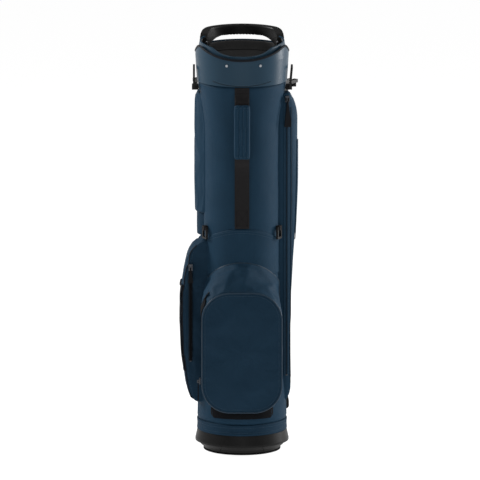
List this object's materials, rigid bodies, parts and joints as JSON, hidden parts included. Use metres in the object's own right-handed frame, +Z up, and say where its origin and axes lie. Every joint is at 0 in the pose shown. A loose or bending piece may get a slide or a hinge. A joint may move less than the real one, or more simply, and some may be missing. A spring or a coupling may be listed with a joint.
{
  "type": "golf stand bag",
  "caption": "Slim upright golf carry bag with a moulded collar, carry and lift handles, side and ball pockets, and fold-out stand legs driven by a tilting foot.",
  "frame": {"origin": "centre of the foot underside, on the ground", "axes": "+Z up along the tube, -Y out of the spine with the lift handle and ball pocket, +X to the right as seen from the spine side"},
  "size_m": [0.2601, 0.2595, 0.9305],
  "materials": {
    "navy_fabric": "coated woven polyester, satin",
    "navy_moulding": "moulded, wrapped in smooth satin skin",
    "navy_panel": "coated woven polyester, satin",
    "mesh": "black knitted mesh",
    "back_padding": "padded mesh",
    "black_plastic": "moulded nylon, matt",
    "webbing": "woven nylon webbing",
    "piping": "satin piping",
    "lining": "brushed lining",
    "zip_tape": "coil zip tape",
    "zip_metal": "black lacquered die casting",
    "zip_pull": "moulded soft pull",
    "rubber": "matt",
    "steel": "zinc plated",
    "leg_aluminium": "black anodised",
    "fibreglass": "pultruded fibreglass rod"
  },
  "bodies": {
    "bag": {"spine_panel": "navy_fabric", "left_panel": "navy_fabric", "right_panel": "navy_fabric", "rear_panel": "navy_fabric", "base_band": "navy_panel", "top_collar": "navy_moulding", "collar_lip": "navy_moulding", "collar_piping": "piping", "collar_lining": "lining", "collar_rivets": "steel", "top_handle": "black_plastic", "handle_brackets": "black_plastic", "screws": "steel", "divider_frame": "black_plastic", "divider_sheets": "lining", "stay_rods": "fibreglass", "lift_webbing": "webbing", "lift_handle_sleeve": "navy_fabric", "yoke_panel": "navy_fabric", "ball_pocket": "navy_fabric", "ball_pocket_front": "navy_panel", "ball_pocket_piping": "navy_panel", "ball_zip": "zip_tape", "left_upper_pocket": "navy_fabric", "left_side_strip": "navy_panel", "left_lower_pocket": "navy_panel", "left_pocket_panel": "mesh", "left_zip": "zip_tape", "right_apparel_pocket": "navy_fabric", "right_welt": "navy_fabric", "right_zip": "zip_tape", "cart_strap_tunnel": "webbing", "base_cup": "black_plastic", "base_floor": "lining", "foot_hinge_pin": "steel", "leg_bracket": "black_plastic", "leg_pins": "steel", "rod_guides": "black_plastic", "back_pad": "back_padding", "strap_tabs": "webbing"},
    "foot": {"foot_shell": "black_plastic", "foot_tread": "rubber"},
    "actuator": {"actuator_rods": "steel", "rod_yoke": "black_plastic"},
    "leg_left": {"leg_tube_left": "leg_aluminium", "leg_cap_left": "black_plastic", "leg_foot_left": "rubber"},
    "leg_right": {"leg_tube_right": "leg_aluminium", "leg_cap_right": "black_plastic", "leg_foot_right": "rubber"},
    "ring_upper_left": {"strap_ring_upper_left": "black_plastic"},
    "ring_upper_right": {"strap_ring_upper_right": "black_plastic"},
    "ring_lower_left": {"strap_ring_lower_left": "black_plastic"},
    "ring_lower_right": {"strap_ring_lower_right": "black_plastic"},
    "ball_slider": {"ball_zip_slider": "zip_metal"},
    "ball_pull": {"ball_zip_pull": "zip_pull"},
    "left_slider": {"left_zip_slider": "zip_metal"},
    "left_pull": {"left_zip_pull": "zip_pull"},
    "right_slider": {"right_zip_slider": "zip_metal"},
    "right_pull": {"right_zip_pull": "zip_pull"}
  },
  "joints": [
    {"name": "foot_tilt", "type": "hinge", "parent": "bag", "child": "foot", "pos_m": [0.0046, 0.06584, 0.012], "axis": [0.9976, -0.0698, 0], "range_deg": [0, 30]},
    {"name": "rod_lift", "type": "slide", "parent": "bag", "child": "actuator", "axis": [0, 0, 1], "range_m": [0, 0.0202]},
    {"name": "leg_left_swing", "type": "hinge", "parent": "bag", "child": "leg_left", "pos_m": [-0.08453, 0.07348, 0.805], "axis": [0.8988, 0.4384, 0], "range_deg": [0, 30]},
    {"name": "leg_right_swing", "type": "hinge", "parent": "bag", "child": "leg_right", "pos_m": [0.09393, 0.061, 0.805], "axis": [0.829, -0.5592, 0], "range_deg": [0, 30]},
    {"name": "ring_upper_left_swing", "type": "hinge", "parent": "bag", "child": "ring_upper_left", "pos_m": [-0.1054, 0, 0.809], "axis": [0, -1, 0], "range_deg": [0, 165]},
    {"name": "ring_upper_right_swing", "type": "hinge", "parent": "bag", "child": "ring_upper_right", "pos_m": [0.1054, 0, 0.809], "axis": [0, 1, 0], "range_deg": [0, 105]},
    {"name": "ring_lower_left_swing", "type": "hinge", "parent": "bag", "child": "ring_lower_left", "pos_m": [-0.08143, -0.03972, 0.501], "axis": [-0.4384, 0.8988, 0], "range_deg": [0, 100]},
    {"name": "ring_lower_right_swing", "type": "hinge", "parent": "bag", "child": "ring_lower_right", "pos_m": [0.08143, -0.03972, 0.501], "axis": [-0.4384, -0.8988, 0], "range_deg": [0, 100]},
    {"name": "ball_zip_run", "type": "slide", "parent": "bag", "child": "ball_slider", "axis": [0, 0, 1], "range_m": [0, 0.13]},
    {"name": "ball_pull_swing", "type": "hinge", "parent": "ball_slider", "child": "ball_pull", "pos_m": [-0.0962, -0.104, 0.17], "axis": [0, 1, 0], "range_deg": [0, 150]},
    {"name": "left_zip_run", "type": "slide", "parent": "bag", "child": "left_slider", "axis": [0, 0, -1], "range_m": [0, 0.19]},
    {"name": "left_pull_swing", "type": "hinge", "parent": "left_slider", "child": "left_pull", "pos_m": [-0.113, -0.049, 0.412], "axis": [-1, 0, 0], "range_deg": [0, 150]},
    {"name": "right_zip_run", "type": "slide", "parent": "bag", "child": "right_slider", "axis": [0, 0, -1], "range_m": [0, 0.585]},
    {"name": "right_pull_swing", "type": "hinge", "parent": "right_slider", "child": "right_pull", "pos_m": [0.10036, -0.02926, 0.785], "axis": [-0.9205, -0.3907, 0], "range_deg": [0, 150]}
  ],
  "couplings": [
    {"joint": "rod_lift", "follows": "foot_tilt", "m_per_rad": 0.038197},
    {"joint": "leg_left_swing", "follows": "foot_tilt", "ratio": 1},
    {"joint": "leg_right_swing", "follows": "foot_tilt", "ratio": 1}
  ]
}
